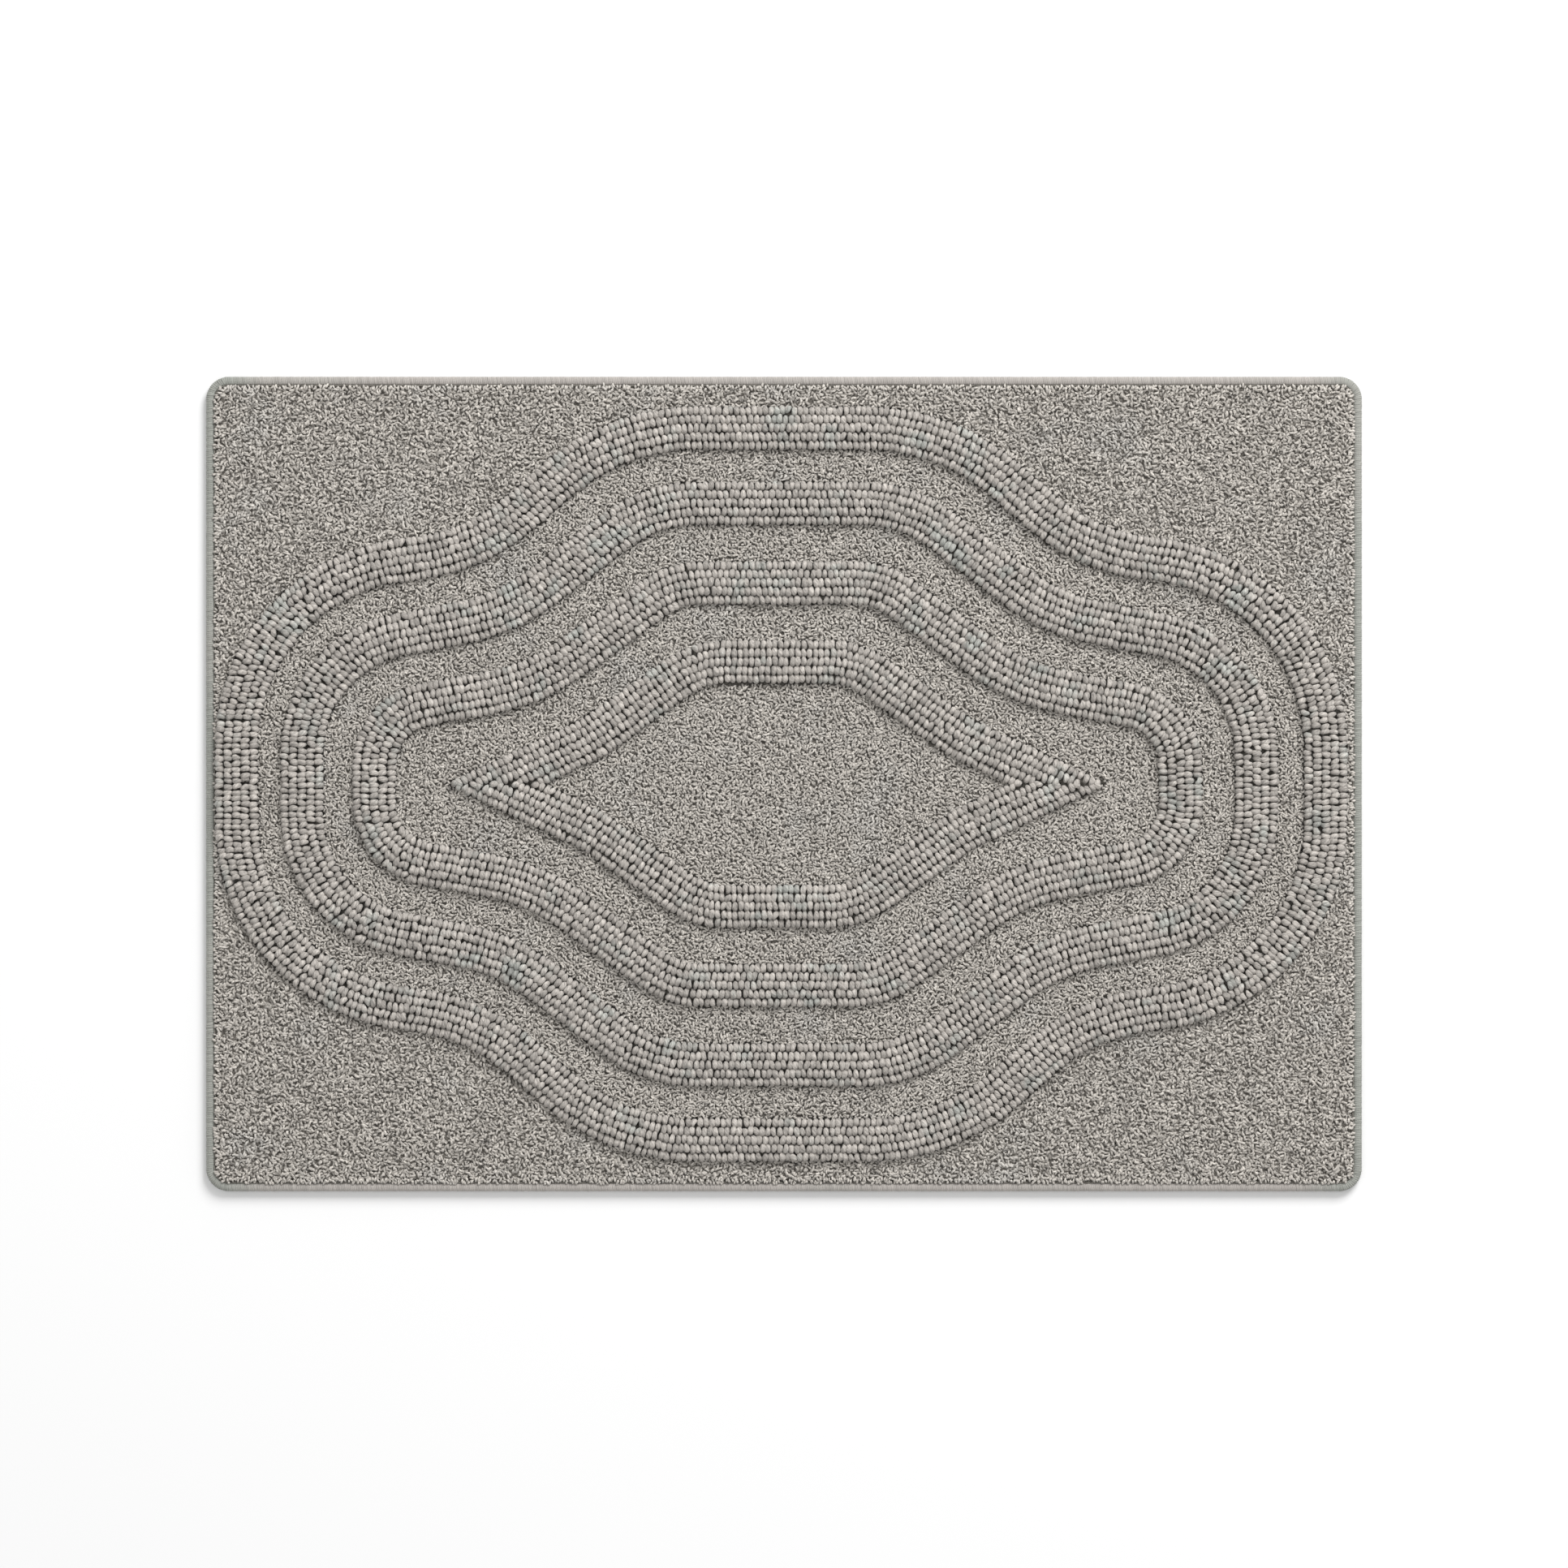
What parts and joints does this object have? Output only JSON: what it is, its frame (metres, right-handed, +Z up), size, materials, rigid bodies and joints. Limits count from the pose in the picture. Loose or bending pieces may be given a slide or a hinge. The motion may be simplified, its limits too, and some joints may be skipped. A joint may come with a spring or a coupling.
{
  "type": "bath mat",
  "caption": "Rectangular tufted bath mat with rounded corners, concentric raised bands of loops on a low curly pile, bound edge and non-slip back.",
  "frame": {"origin": "middle of the underside, on the floor", "axes": "+X along the long side, +Y along the short side, +Z up out of the pile"},
  "size_m": [0.61, 0.43, 0.0125],
  "materials": {
    "latex": "matt, slightly textured",
    "base_cloth": "plain weave",
    "binding_yarn": "overlocked yarn",
    "needle_thread": "fine spun thread",
    "low_pile": "fine curly pile",
    "loop_pile": "thick looped yarn"
  },
  "bodies": {
    "root": {"latex_backing": "latex", "primary_backing": "base_cloth", "edge_binding": "binding_yarn", "binding_stitch": "needle_thread", "field_outer": "low_pile", "field_1_2": "low_pile", "field_2_3": "low_pile", "field_3_4": "low_pile", "field_centre": "low_pile", "ring_1_row_1": "loop_pile", "ring_1_row_2": "loop_pile", "ring_1_row_3": "loop_pile", "ring_1_row_4": "loop_pile", "ring_1_row_5": "loop_pile", "ring_2_row_1": "loop_pile", "ring_2_row_2": "loop_pile", "ring_2_row_3": "loop_pile", "ring_2_row_4": "loop_pile", "ring_2_row_5": "loop_pile", "ring_3_row_1": "loop_pile", "ring_3_row_2": "loop_pile", "ring_3_row_3": "loop_pile", "ring_3_row_4": "loop_pile", "ring_3_row_5": "loop_pile", "ring_4_row_1": "loop_pile", "ring_4_row_2": "loop_pile", "ring_4_row_3": "loop_pile", "ring_4_row_4": "loop_pile", "ring_4_row_5": "loop_pile"}
  },
  "joints": []
}
